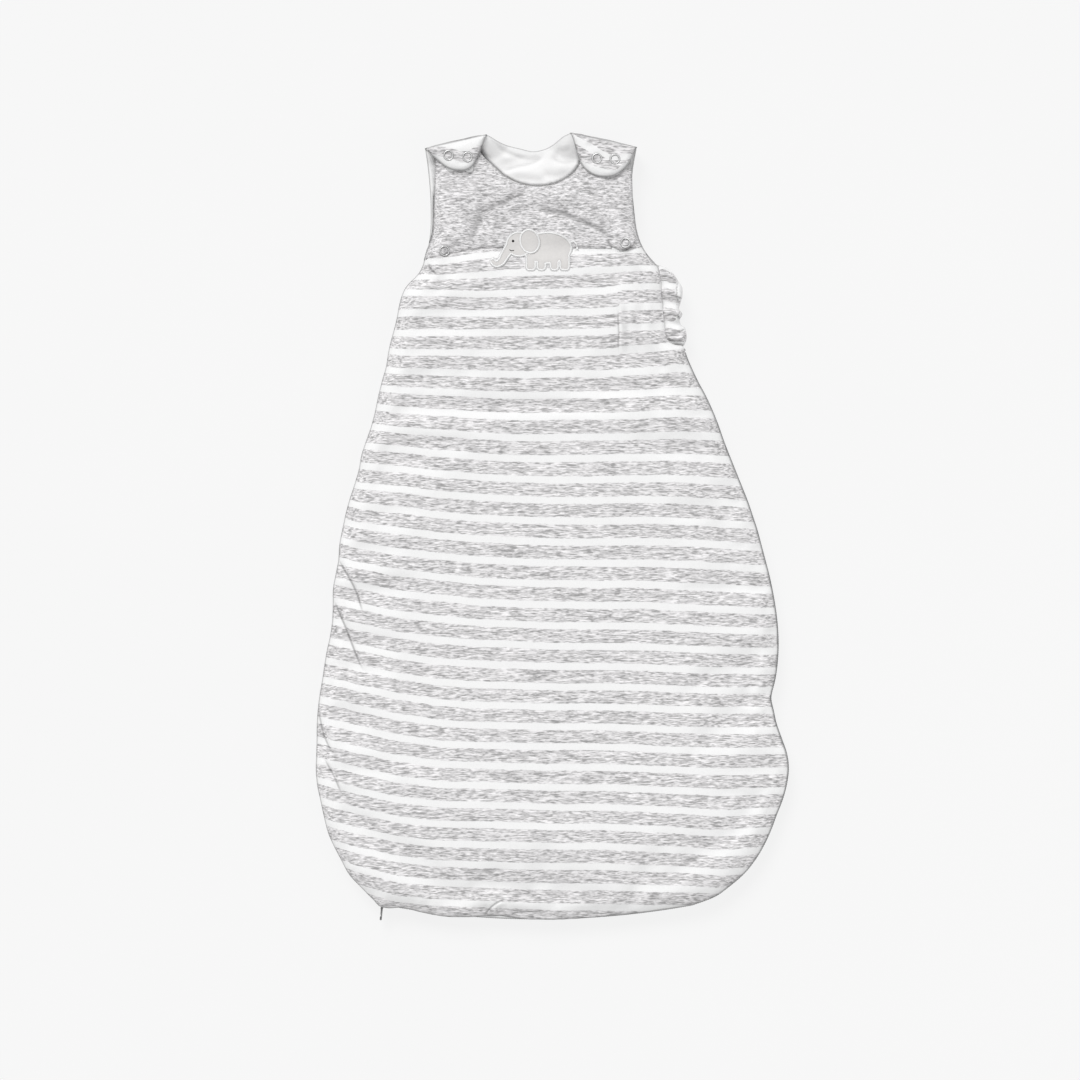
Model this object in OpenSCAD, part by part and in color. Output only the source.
// Baby sleeping bag with a side-and-hem zip, shoulder snap tabs and underarm poppers.
// The bag lies on its back: +Z is up through the front panel, +Y runs to the neck, and the
// origin is the centre of the bag's outline on the surface it rests on. Left is -X.
// Millimetres and degrees.

/* [Padding] */
// Height of the front panel's crown above the floor
crown_h = 36; // [34:0.5:40]
// Thickness of the outer and lining fabrics
fabric_t = 1.0; // [0.8:0.1:1.2]
// Thickness of one quilted panel, fabric to fabric
panel_t = 10; // [9:0.5:10.5]
// Radius of the front panel's curve from side to side
cross_r = 1900; // [1800:50:2600]
// Gap left between neighbouring layers
gap = 0.05; // [0.05:0.01:0.1]

/* [Zip] */
// Distance from the outline to the panels' edges along the zip
zip_inset = 4.0; // [3.9:0.1:4.4]
// Height of the line where the two rows of teeth meet
zip_z = 13; // [12.6:0.1:13.4]
// Thickness of the zip tape
tape_t = 0.7; // [0.5:0.1:0.8]
// Radius of the hem's arc
hem_r = 768.6; // [768.6:0.1:768.6]
// Length of the slider along the teeth
slider_l = 9; // [7:0.5:9]
// Length of the pull from its pivot to its tip
pull_l = 10.9; // [10:0.1:11.6]

/* [Snaps] */
// Outer diameter of a snap's ring
snap_d = 9.5; // [8.5:0.5:9.5]
// Inner diameter of a snap's ring
snap_hole_d = 6.8; // [6:0.2:7]
// Diameter of a stud's post
post_d = 3.4; // [3:0.1:3.6]
// Diameter of a socket's mouth
mouth_d = 5.2; // [5:0.1:5.4]

/* [Shoulder tabs] */
// Height of the underside of the left tab
left_tab_z = 27.5; // [27.5:0.1:27.8]
// Height of the underside of the right tab
right_tab_z = 27.7; // [27.7:0.1:28]
// Thickness of a tab
tab_t = 3.9; // [3.5:0.1:4]

/* [Hidden] */
$fn = 64;

far_x = 260;                             // half width that lies beyond the outline
far_y = 400;                             // half length that lies beyond the outline
cut_h = 60;                              // height of cutting shapes, above every piece
lining_inset = fabric_t + gap;           // from a panel's edge to its filling and lining

// ---- curves ----
// Catmull-Rom spline between b and c, with t from 0 to 1
function spline(a, b, c, d, t) =
    0.5*(2*b + (c - a)*t + (2*a - 5*b + 4*c - d)*t*t + (3*b - a - 3*c + d)*t*t*t);
// smooth curve through the points, each span cut into the given number of steps
function curve(points, steps) = let(last = len(points) - 1) concat(
    [for (i = [0:last - 1]) for (k = [0:steps - 1])
        spline(points[max(i - 1, 0)], points[i], points[i + 1], points[min(i + 2, last)], k/steps)],
    [points[last]]);

// ---- hem: an arc, with angles from straight down, positive to the right ----
hem_centre = [-12.5, 415];
hem_angle = 10.75;                       // half angle between the hem's corners
arc_angle = hem_angle - 1;               // half angle of the part drawn as an arc
arc_steps = 20;
function hem_point(a) = hem_centre + hem_r*[sin(a), -cos(a)];

// ---- outline of the bag as [x, y], walked clockwise from the left end of the neck ----
underarm = [118.4, 162.9];               // right side, where the gusset meets the zip
neck_back = [[-59, 352.6], [-50, 348], [-41.9, 344.5], [-28.4, 340.9], [-17.6, 338.6],
    [-7.7, 340.6], [-0.4, 344.2], [5.5, 348.2], [15.8, 354.1]];
right_arm = [[76, 341], [73.4, 328], [71.6, 310], [72.2, 292], [73.6, 278],
    [77, 262], [84, 248], [94, 236]];
gusset_edge = [[94, 236], [103, 232], [111, 224], [116.4, 212], [115.6, 198], [117, 184],
    [119.6, 172], underarm];
right_side = [underarm, [131, 132.3], [144.5, 105.3], [154.6, 78.3], [165.2, 51.3],
    [176, 24.3], [185, -2.7], [192.2, -29.7], [198.6, -56.7], [202.8, -83.7],
    [203.8, -110.7], [201, -137.7], [199.6, -160], [205.5, -184], [211.6, -203],
    [213.3, -218.7], [211.2, -236], [205.4, -252], [197.2, -272.7], [183.2, -299.7],
    [172.2, -313.2], [156.2, -326.7], hem_point(hem_angle)];
left_side = [hem_point(-hem_angle), [-170.4, -326.7], [-183.2, -313.2],
    [-197.6, -286.2], [-209, -245.7], [-213.3, -218.7], [-212.6, -185], [-207.6, -137.7],
    [-203.9, -110.7], [-199.2, -76], [-193.4, -29.7], [-183.4, 24.3], [-168.2, 78.3],
    [-153.6, 132.3], [-144.6, 172.8], [-138.4, 199.8], [-133, 215], [-122, 226.8],
    [-115.8, 240.3], [-112.2, 253.8]];
left_arm = [[-112.2, 253.8], [-110.2, 267.3], [-109.6, 282], [-110.6, 298], [-112, 316],
    [-113.6, 330], [-114.8, 339.9]];

outline = concat(
    curve(neck_back, 2),
    curve(right_arm, 2),
    curve(gusset_edge, 2),
    curve(right_side, 3),
    [for (i = [0:arc_steps]) hem_point(arc_angle - 2*arc_angle*i/arc_steps)],
    curve(left_side, 3),
    curve(left_arm, 2));

// ends of each shoulder's fold line, left end first
left_shoulder = [left_arm[len(left_arm) - 1], neck_back[0]];
right_shoulder = [neck_back[len(neck_back) - 1], right_arm[0]];

// ---- outline of the front panel as [x, y]: bodice above, the bag's own sides below ----
front_neck = [[-68, 346.2], [-64.1, 335.5], [-48.1, 320], [-36.5, 311.9], [-25.1, 308],
    [-13.6, 306.5], [-2.1, 307.4], [9.4, 311.9], [18, 317.7], [23.8, 325.2], [28, 346]];
front_right = [[68, 337], [70.5, 327], [71.8, 308], [72.6, 287], [74.2, 272.7],
    [78.4, 256], [86, 243], [95.8, 232.2]];
front_seam = [[95.8, 232.2], [97.6, 222], [98.6, 204], [100.4, 188], [102.2, 174],
    [104, underarm[1]]];
front_left = [[-112.2, 250], [-107.4, 262], [-106.4, 280], [-106, 301], [-105.3, 323],
    [-104.5, 336.9]];
bodice_outline = concat(
    curve(front_neck, 2),
    curve(front_right, 2),
    curve(front_seam, 2),
    [underarm, [far_x, underarm[1]], [far_x, -far_y], [-far_x, -far_y], [-far_x, 250]],
    curve(front_left, 2));

// run of the zip: right side from the underarm, and the whole hem
zip_zone = [[90, 163.2], [far_x, 163.2], [far_x, -far_y], [-157.4, -far_y], [-157.4, -300],
    [120, -300], [120, 60], [90, 120]];

// ---- fold of the opened front: a straight line from the zip's closed end to its top ----
fold_top = [107.6, 163.8];
fold_end = hem_point(-9.45);
fold_dir = (fold_top - fold_end)/norm(fold_top - fold_end);
fold_across = [fold_dir[1], -fold_dir[0]];   // unit vector across the fold, towards the zip
fold_gap = 0.15;                         // from the fold to each side's edge

// One side of the fold: 1 is the flap by the zip, -1 is the fixed side.
module fold_side(side) {
    across = side*fold_across;
    low = fold_end - 200*fold_dir;
    high = fold_top + (side > 0 ? 200 : 300)*fold_dir;
    polygon([low + fold_gap*across, high + fold_gap*across, high + 600*across, low + 600*across]);
}
module fold_part(side) {
    intersection() {
        children();
        linear_extrude(cut_h) fold_side(side);
    }
}

// ---- plan shapes ----
module bag() { polygon(outline); }
// ring inside the outline, between two depths in from it
module edge_band(outer, inner) {
    difference() {
        offset(delta = -outer) bag();
        offset(delta = -inner) bag();
    }
}
module zip_band(outer, inner) {
    intersection() {
        edge_band(outer, inner);
        polygon(zip_zone);
    }
}
// whole panel: on the outline everywhere but the zip, where it stands back
module back_plan(inset) {
    intersection() {
        offset(delta = -inset) bag();
        difference() {
            square([900, 900], center = true);
            offset(delta = inset) zip_band(-2, zip_inset);
        }
    }
}
module front_plan(inset) {
    intersection() {
        back_plan(inset);
        offset(delta = -inset) polygon(bodice_outline);
    }
}
// seam between the yoke and the skirt, as [x, y]
yoke_line = [[-far_x, 240.4], [-112, 241.2], [-96, 243.8], [-81, 247.4], [-65, 249.4],
    [-30, 249.8], [60, 249.8], [far_x, 249.8]];
// One side of that seam: 1 is the yoke, -1 is the skirt.
module yoke_side(side) {
    polygon(concat([for (point = yoke_line) point + [0, side*gap]],
        [[far_x, side*500], [-far_x, side*500]]));
}

// ---- heights of the front panel ----
// Towards the foot and the neck the surface falls away as a parabola, distance squared / rate.
end_top = crown_h + 1;                   // height of the level part between the two falls
foot_fall_y = -190;                      // where the fall to the foot starts
neck_fall_y = 110;                       // where the fall to the neck starts
foot_rate = 2044;
neck_rate = 3946;
foot_y = -370;                           // ends of the surface
neck_y = 385;
function fall(y) = end_top - (
    y < foot_fall_y ? pow(foot_fall_y - y, 2)/foot_rate :
    y > neck_fall_y ? pow(y - neck_fall_y, 2)/neck_rate : 0);
function front_z(point) = min(crown_h - point[0]*point[0]/(2*cross_r), fall(point[1]));
fall_points = [for (y = concat([for (y = [foot_y:20:foot_fall_y]) y],
    [for (y = [neck_fall_y:25:neck_y]) y])) [y, fall(y)]];

// everything under the front panel's upper surface, lowered by the drop
module under(drop) {
    intersection() {
        rotate([90, 0, 0]) linear_extrude(800, center = true) intersection() {
            translate([0, crown_h - cross_r]) circle(cross_r - drop, $fn = 720);
            translate([-240, 1]) square([480, 60]);
        }
        rotate([90, 0, 90]) linear_extrude(500, center = true)
            polygon(concat([[foot_y, 0.5]], [for (point = fall_points) point - [0, drop]],
                [[neck_y, 0.5]]));
    }
}
// layer that follows the surface between two drops
module layer(top, bottom) {
    difference() {
        under(top);
        under(bottom);
    }
}

// ---- back half ----
shoulder_top = 25.8;                     // the back's shoulders turn up to this height
shoulder_trim = 0.6;                     // how far a turned-up strip stops short of each end

// strip along a shoulder's fold line, turned up off the back
module shoulder_wall(ends) {
    along = (ends[1] - ends[0])/norm(ends[1] - ends[0]);
    inward = fabric_t*[along[1], -along[0]];
    start = ends[0] + along*shoulder_trim;
    stop = ends[1] - along*shoulder_trim;
    linear_extrude(shoulder_top) polygon([start, stop, stop + inward, start + inward]);
}
module back_outer() {
    color("gainsboro") union() {
        difference() {
            linear_extrude(panel_t) back_plan(0);
            translate([0, 0, fabric_t]) linear_extrude(panel_t) back_plan(fabric_t);
            // recesses for the underarm poppers' rings
            for (p = arm_snaps) translate([p[0], p[1], -1]) cylinder(d = snap_d + 0.4, h = 1.7);
        }
        shoulder_wall(left_shoulder);
        shoulder_wall(right_shoulder);
    }
}
module back_wadding() {
    color("white") translate([0, 0, lining_inset])
        linear_extrude(panel_t - 2*lining_inset) back_plan(lining_inset);
}
module back_lining() {
    color("whitesmoke") translate([0, 0, panel_t - fabric_t])
        linear_extrude(fabric_t) back_plan(lining_inset);
}

// ---- front half ----
rim_z = 13.5;                            // lower edge of the front's turned-down rim

module front_shell() {
    difference() {
        intersection() {
            under(0);
            translate([0, 0, rim_z]) linear_extrude(40) front_plan(0);
        }
        intersection() {
            under(fabric_t);
            translate([0, 0, 2]) linear_extrude(50) front_plan(fabric_t);
        }
    }
}
module front_fill(top, bottom) {
    intersection() {
        layer(top, bottom);
        linear_extrude(cut_h) front_plan(lining_inset);
    }
}
module front_wadding(side) { fold_part(side) front_fill(lining_inset, panel_t - lining_inset); }
module front_lining(side) { fold_part(side) front_fill(panel_t - fabric_t, panel_t); }

module front_yoke() {
    color("lightgray") intersection() {
        front_shell();
        linear_extrude(cut_h) yoke_side(1);
    }
}
module front_skirt_fixed() {
    color("gainsboro") intersection() {
        front_shell();
        linear_extrude(cut_h) intersection() {
            yoke_side(-1);
            fold_side(-1);
        }
    }
}
module front_wadding_fixed() { color("white") front_wadding(-1); }
module front_lining_fixed() { color("whitesmoke") front_lining(-1); }
module front_skirt_flap() { color("gainsboro") fold_part(1) front_shell(); }
module front_wadding_flap() { color("white") front_wadding(1); }
module front_lining_flap() { color("whitesmoke") front_lining(1); }

// sewn edge that joins the front and the back down the left side
module left_side_seam() {
    color("gainsboro") translate([0, 0, panel_t + gap])
        linear_extrude(rim_z - panel_t - 2*gap) intersection() {
            difference() {
                bag();
                offset(delta = -2) bag();
            }
            polygon([[-far_x, 212], [-110, 212], [-110, -334], [-159.5, -334],
                [-159.5, -far_y], [-far_x, -far_y]]);
        }
}

// ---- gusset under the right arm ----
gusset_drop = 3;                         // from the front's surface down to the gusset's top
gusset_inset = 0.2;
gusset_plan = concat(curve(gusset_edge, 2), [[107, 163.4]],
    [for (i = [4:-1:0]) front_seam[i] + [2.2, 0]]);

module gusset_shape(inset) { offset(delta = -inset) polygon(gusset_plan); }
module underarm_gusset() {
    color("gainsboro") intersection() {
        difference() {
            under(gusset_drop);
            intersection() {
                under(gusset_drop + fabric_t);
                linear_extrude(cut_h) gusset_shape(gusset_inset + fabric_t);
            }
        }
        translate([0, 0, 13]) linear_extrude(40) gusset_shape(gusset_inset);
    }
}
module underarm_gusset_lining() {
    clearance = 0.1;
    color("white") intersection() {
        layer(gusset_drop + fabric_t + clearance, 12);
        linear_extrude(cut_h) gusset_shape(gusset_inset + fabric_t + clearance);
    }
}

// ---- zip: side 1 is the front's half, -1 is the back's ----
tooth_outer = 0.3;                       // depths of the teeth's faces in from the outline
tooth_inner = 2.5;
tooth_h = 1.8;                           // height of one row
tooth_gap = 0.3;                         // half the parting between the rows
row_top = tooth_gap + tooth_h;           // from the meeting line to a row's far face
tape_depth = (tooth_outer + tooth_inner)/2;   // depth of the tape's middle
front_flange_z = 20.3;                   // outermost faces of the tape's flanges
back_flange_z = 5.7;

// run down the right side and along the hem to the fold's end
module zip_main() {
    polygon([[90, 158.6], [far_x, 158.6], [far_x, -far_y], fold_end + [1.2, -60],
        fold_end + [1.2, 12], [100, -280], [100, 100]]);
}
// short run from the fold's end to the hem's left corner
module zip_rest() {
    polygon([fold_end + [0.6, -60], fold_end + [0.6, 14], [-163, -310], [-163, -far_y]]);
}
// clears the teeth from the last of the hem
module end_cut() { polygon([[-200, -300], [-155.4, -300], [-155.4, -far_y], [-200, -far_y]]); }

module strip(outer, inner, z1, z2) {
    translate([0, 0, min(z1, z2)]) linear_extrude(abs(z2 - z1)) zip_band(outer, inner);
}
// web standing off the teeth, and the flange at the panel's edge
module tape(side) {
    flange_z = side > 0 ? front_flange_z : back_flange_z;
    outer = tape_depth - tape_t/2;
    strip(outer, tape_depth + tape_t/2, zip_z + side*(row_top + gap), flange_z);
    strip(outer, zip_inset - gap, flange_z, flange_z - side*tape_t);
}
module teeth(side) {
    strip(tooth_outer, tooth_inner, zip_z + side*tooth_gap, zip_z + side*row_top);
}
module zip_tape_back() { color("white") tape(-1); }
module zip_tape_front() {
    color("white") intersection() {
        tape(1);
        linear_extrude(cut_h) zip_main();
    }
}
module zip_tape_end() {
    color("white") intersection() {
        tape(1);
        linear_extrude(cut_h) zip_rest();
    }
}
module zip_teeth_back() {
    color("silver") intersection() {
        teeth(-1);
        linear_extrude(cut_h) difference() {
            union() {
                zip_main();
                zip_rest();
                // bridges the parting between the two runs
                translate([0.8, 0]) zip_rest();
            }
            end_cut();
        }
    }
}
module zip_teeth_front() {
    color("silver") intersection() {
        teeth(1);
        linear_extrude(cut_h) zip_main();
    }
}
module zip_teeth_end() {
    color("silver") intersection() {
        teeth(1);
        linear_extrude(cut_h) difference() {
            zip_rest();
            end_cut();
        }
    }
}

// places something on the hem, at an angle to the left of straight down;
// +X then runs along the hem to the left and +Y outward
module on_hem(angle) {
    translate(hem_centre) rotate([0, 0, -angle]) translate([0, -hem_r]) rotate([0, 0, 180])
        children();
}

module zip_top_stop() {
    color("silver") translate([0, 0, zip_z - row_top]) linear_extrude(2*row_top) intersection() {
        edge_band(0.1, 2.8);
        polygon([[110, 160.6], [125, 160.6], [125, 158.9], [110, 158.9]]);
    }
}
module zip_end_stop() {
    color("silver") on_hem(10.80) translate([0, -tape_depth, zip_z])
        cube([1.2, 2.4, 4.1], center = true);
}
// inner facing that backs the zip down the right side and along the hem
module zip_guard() {
    color("whitesmoke") translate([0, 0, panel_t + gap]) linear_extrude(0.8) intersection() {
        edge_band(6, 26);
        polygon([[80, 150], [far_x, 150], [far_x, -far_y], [-120, -far_y], [-120, -310],
            [80, -310]]);
    }
}

// ---- slider and pull, in the frame of on_hem ----
slider_angle = 10.33;                    // where the slider rests, at the closed end
slider_w = 8;                            // height of the plates
slider_end = 3;                          // length of a plate's rounded end
plate_t = 0.9;
lip_h = 1.0;
lip_trim = 1.6;                          // how far the lips stop short of each end
// outer and inner plates: [plate's y, lips' y, lips' depth]
slider_plates = [[0.3, -0.75, 1.1], [-2.8 - plate_t, -2.85, 0.8]];
pull_pivot = [2.9, 2.7];                 // along the hem and outward from the slider's middle
pull_turn = 4.6;                         // the pull hangs a little off the radius
pull_t = 1.7;
pull_eye_h = 4.8;                        // height of the pull's eye on the pin
blade_start = 3;                         // from the pivot to the blade
blade_w = 5.2;
tip_r = 3;

module slider_plate() {
    rotate([-90, 0, 0]) linear_extrude(plate_t) union() {
        square([slider_l - slider_end, slider_w], center = true);
        for (e = [-1, 1]) translate([e*(slider_l/2 - slider_end), 0]) intersection() {
            circle(slider_w/2);
            translate([e > 0 ? 0 : -slider_end, -slider_w/2]) square([slider_end, slider_w]);
        }
    }
}
module slider_body() {
    color("dimgray") on_hem(slider_angle) translate([0, 0, zip_z]) union() {
        for (plate = slider_plates) {
            translate([0, plate[0], 0]) slider_plate();
            // lips that hug the tape
            for (z = [-slider_w/2, slider_w/2 - lip_h])
                translate([-slider_l/2 + lip_trim, plate[1], z])
                    cube([slider_l - 2*lip_trim, plate[2], lip_h]);
        }
        // bridge that joins the plates near their left end
        translate([slider_l/2 - 3.2, -2.85, -0.15]) cube([2.4, 3.2, 0.3]);
        // bail: two posts and a pin for the pull
        for (e = [-1, 1]) translate([pull_pivot[0] - 0.9, 1.1, e*3.1 - 0.4]) cube([1.8, 2.2, 0.8]);
        translate([pull_pivot[0], pull_pivot[1], -3.2]) cylinder(d = 1.0, h = 6.4);
    }
}
// blade along +X, widest near its rounded tip, with a round hole
module pull_blade() {
    tip_x = pull_l - blade_start - tip_r;
    difference() {
        union() {
            translate([tip_x, 0]) circle(tip_r);
            translate([0, -blade_w/2]) square([tip_x, blade_w]);
        }
        translate([tip_x, 0]) circle(1.3);
    }
}
module zip_pull() {
    color("gray") on_hem(slider_angle) translate([pull_pivot[0], pull_pivot[1], zip_z])
        rotate([0, 0, pull_turn]) difference() {
            union() {
                cylinder(d = 2.2, h = pull_eye_h, center = true);
                translate([-pull_t/2, 0, -pull_eye_h/2]) cube([pull_t, 4, pull_eye_h]);
                translate([-pull_t/2, blade_start, 0]) rotate([90, 0, 90])
                    linear_extrude(pull_t) pull_blade();
            }
            cylinder(d = 1.2, h = 8, center = true);
        }
}

// ---- snap parts ----
seat_d = 8.4;                            // diameter of a socket and of a stud's base

module snap_ring(z, height) {
    translate([0, 0, z]) difference() {
        cylinder(d = snap_d, h = height);
        translate([0, 0, -1]) cylinder(d = snap_hole_d, h = height + 2);
    }
}
module socket(point, z, height, bore_h) {
    translate([point[0], point[1], z]) difference() {
        cylinder(d = seat_d, h = height);
        translate([0, 0, -1]) cylinder(d = mouth_d, h = bore_h);
    }
}
module stud(point, z, base_h, post_h) {
    translate([point[0], point[1], z]) union() {
        cylinder(d = seat_d, h = base_h);
        translate([0, 0, base_h - 0.01]) cylinder(d = post_d, h = post_h);
    }
}

// ---- shoulder tabs: outlines and snap centres as [x, y] ----
left_tab = concat([left_shoulder[0]],
    [[-110.6, 336.6], [-104, 330.3], [-94, 322.6], [-83.3, 319.5],
    [-75.4, 320.6], [-69, 326.4], [-65.2, 334.8], [-61.5, 345]],
    [left_shoulder[1]]);
right_tab = concat([right_shoulder[0]],
    [[18.6, 346], [21.2, 338.8], [25, 327.2], [32, 319],
    [42.8, 314.3], [53.6, 314.3], [62.4, 319.4], [69.4, 327.2], [73.4, 335]],
    [right_shoulder[1]]);
left_snaps = [[-93.4, 333.2], [-76.3, 331.8]];
right_snaps = [[39.7, 330.5], [55.9, 329.9]];
// second row of bodice studs, nearer the hem
left_low_snaps = [[-91.4, 323], [-75, 322.4]];
right_low_snaps = [[41, 320.3], [56.6, 319.9]];
tab_fabric_t = 0.8;
tab_inset = 0.25;                        // from the tab's outline to its cover
tab_fill_inset = tab_inset + tab_fabric_t + gap;

module tab_plan(points, inset) { offset(delta = -inset) polygon(curve(points, 3)); }
module tab_cover(points, z) {
    difference() {
        translate([0, 0, z]) linear_extrude(tab_t) tab_plan(points, tab_inset);
        translate([0, 0, z - 1]) linear_extrude(tab_t + 1 - tab_fabric_t)
            tab_plan(points, tab_inset + tab_fabric_t);
    }
}
module tab_fill(points, z) {
    translate([0, 0, z + tab_fabric_t + gap]) linear_extrude(tab_t - 2*(tab_fabric_t + gap))
        tab_plan(points, tab_fill_inset);
}
module tab_under(points, z) {
    translate([0, 0, z]) linear_extrude(tab_fabric_t) tab_plan(points, tab_fill_inset);
}
module tab_caps(snaps, z) { for (p = snaps) translate(p) snap_ring(z + tab_t + gap, 0.8); }
// just below the tab's lining
module tab_sockets(snaps, z) { for (p = snaps) socket(p, z - 1.4, 1.35, 4); }
// bases stand on the front, up to base_top
module bodice_studs(snaps, base_top, post_h) {
    for (p = snaps) stud(p, front_z(p) + 0.55, base_top - front_z(p) - 0.55, post_h);
}
// the studs under the tab's sockets, then the lower row with shorter posts
module stud_rows(snaps, low_snaps, z) {
    bodice_studs(snaps, z - 1.65, 1.5);
    bodice_studs(low_snaps, z - 1.0, 0.8);
}
// below the front's lining
module bodice_rings(snaps) {
    for (p = snaps) translate(p) snap_ring(front_z(p) - panel_t - 1.5, 0.8);
}
module left_tab_outer() { color("gainsboro") tab_cover(left_tab, left_tab_z); }
module left_tab_wadding() { color("white") tab_fill(left_tab, left_tab_z); }
module left_tab_lining() { color("whitesmoke") tab_under(left_tab, left_tab_z); }
module left_tab_caps() { color("silver") tab_caps(left_snaps, left_tab_z); }
module left_tab_sockets() { color("silver") tab_sockets(left_snaps, left_tab_z); }
module right_tab_outer() { color("gainsboro") tab_cover(right_tab, right_tab_z); }
module right_tab_wadding() { color("white") tab_fill(right_tab, right_tab_z); }
module right_tab_lining() { color("whitesmoke") tab_under(right_tab, right_tab_z); }
module right_tab_caps() { color("silver") tab_caps(right_snaps, right_tab_z); }
module right_tab_sockets() { color("silver") tab_sockets(right_snaps, right_tab_z); }
module left_bodice_studs() { color("silver") stud_rows(left_snaps, left_low_snaps, left_tab_z); }
module left_bodice_rings() { color("silver") bodice_rings(concat(left_snaps, left_low_snaps)); }
module right_bodice_studs() { color("silver") stud_rows(right_snaps, right_low_snaps, right_tab_z); }
module right_bodice_rings() { color("silver") bodice_rings(concat(right_snaps, right_low_snaps)); }

// ---- underarm poppers: cap and socket on the front, stud and ring on the back ----
arm_snaps = [[-96.8, 247.4], [65.2, 254.6]];

module underarm_caps() {
    color("silver") for (p = arm_snaps) translate(p) snap_ring(front_z(p) + 0.45, 0.9);
}
module underarm_sockets() {
    color("silver") for (p = arm_snaps) socket(p, front_z(p) - panel_t - 1.8, 1.4, 5);
}
module underarm_studs() {
    color("silver") for (p = arm_snaps) stud(p, panel_t + gap, 0.6, 1.5);
}
// bedded into the outside of the back, behind the studs
module underarm_rings() { color("silver") for (p = arm_snaps) translate(p) snap_ring(0, 0.65); }

// ---- applique: an elephant facing left ----
// bottom and top of each thin layer above the front's surface
low_layer = [0.05, 0.6];
middle_layer = [0.65, 1.2];
top_layer = [1.25, 1.8];
eye_layer = [1.25, 1.7];
// legs: [middle's x, width, top's y]
legs = [[-19.5, 7.4, 248], [-10, 6.4, 244], [1.6, 6.4, 244], [10.8, 7.4, 248]];
foot_sole_y = 230.5;
foot_chamfer = 1.2;
// middle line of the trunk, from under the head to the raised tip
trunk_line = [[-38, 251], [-42.5, 244], [-46.2, 237.6], [-51, 235.6], [-54.4, 239.4]];
trunk_root = 3.8;                        // half width under the head
trunk_taper = 2.1;                       // half width lost by the tip

module ellipse(centre, x_radius, y_radius, count, turn = 0) {
    polygon([for (i = [0:count - 1])
        let(t = 360*i/count, x = x_radius*cos(t), y = y_radius*sin(t))
        centre + [x*cos(turn) - y*sin(turn), x*sin(turn) + y*cos(turn)]]);
}
module leg(x, width, top) {
    left = x - width/2;
    right = x + width/2;
    polygon([[left, top], [left, foot_sole_y + foot_chamfer], [left + foot_chamfer, foot_sole_y],
        [right - foot_chamfer, foot_sole_y], [right, foot_sole_y + foot_chamfer], [right, top]]);
}
module body_plan() {
    ellipse([-5, 250], 21.5, 13.5, 40);
    for (l = legs) leg(l[0], l[1], l[2]);
}
module trunk_plan() {
    middle = curve(trunk_line, 4);
    last = len(middle) - 1;
    function side(i) = let(d = middle[min(i + 1, last)] - middle[max(i - 1, 0)])
        (trunk_root - trunk_taper*i/last)*[-d[1], d[0]]/norm(d);
    polygon(concat([for (i = [0:last]) middle[i] + side(i)],
        [for (i = [last:-1:0]) middle[i] - side(i)]));
}
module head_plan() {
    ellipse([-30, 253.5], 11, 10.5, 36);
    trunk_plan();
}
// thin piece that follows the front's surface
module on_front(heights) {
    intersection() {
        layer(-heights[1], -heights[0]);
        translate([0, 0, 20]) linear_extrude(30) children();
    }
}
module applique_body() { color("antiquewhite") on_front(low_layer) body_plan(); }
module applique_head() {
    color("antiquewhite") on_front(middle_layer) offset(delta = 0.01) head_plan();
}
module applique_ear() {
    color("antiquewhite") on_front(top_layer) ellipse([-20.5, 256], 8.2, 10.2, 32, 14);
}
// border round the whole elephant, filled in under the head
module applique_border() {
    color("white") on_front(low_layer) difference() {
        offset(delta = 1.3) union() {
            body_plan();
            head_plan();
        }
        offset(delta = 0.1) body_plan();
    }
}
module applique_eye() { color("black") on_front(eye_layer) ellipse([-35.4, 256.4], 1.1, 1.1, 24); }

back_outer();
back_wadding();
back_lining();
front_yoke();
front_skirt_fixed();
front_wadding_fixed();
front_lining_fixed();
front_skirt_flap();
front_wadding_flap();
front_lining_flap();
left_side_seam();
underarm_gusset();
underarm_gusset_lining();
zip_tape_back();
zip_tape_front();
zip_tape_end();
zip_teeth_back();
zip_teeth_front();
zip_teeth_end();
zip_top_stop();
zip_end_stop();
zip_guard();
slider_body();
zip_pull();
left_tab_outer();
left_tab_wadding();
left_tab_lining();
left_tab_caps();
left_tab_sockets();
right_tab_outer();
right_tab_wadding();
right_tab_lining();
right_tab_caps();
right_tab_sockets();
left_bodice_studs();
left_bodice_rings();
right_bodice_studs();
right_bodice_rings();
underarm_caps();
underarm_sockets();
underarm_studs();
underarm_rings();
applique_body();
applique_head();
applique_ear();
applique_border();
applique_eye();
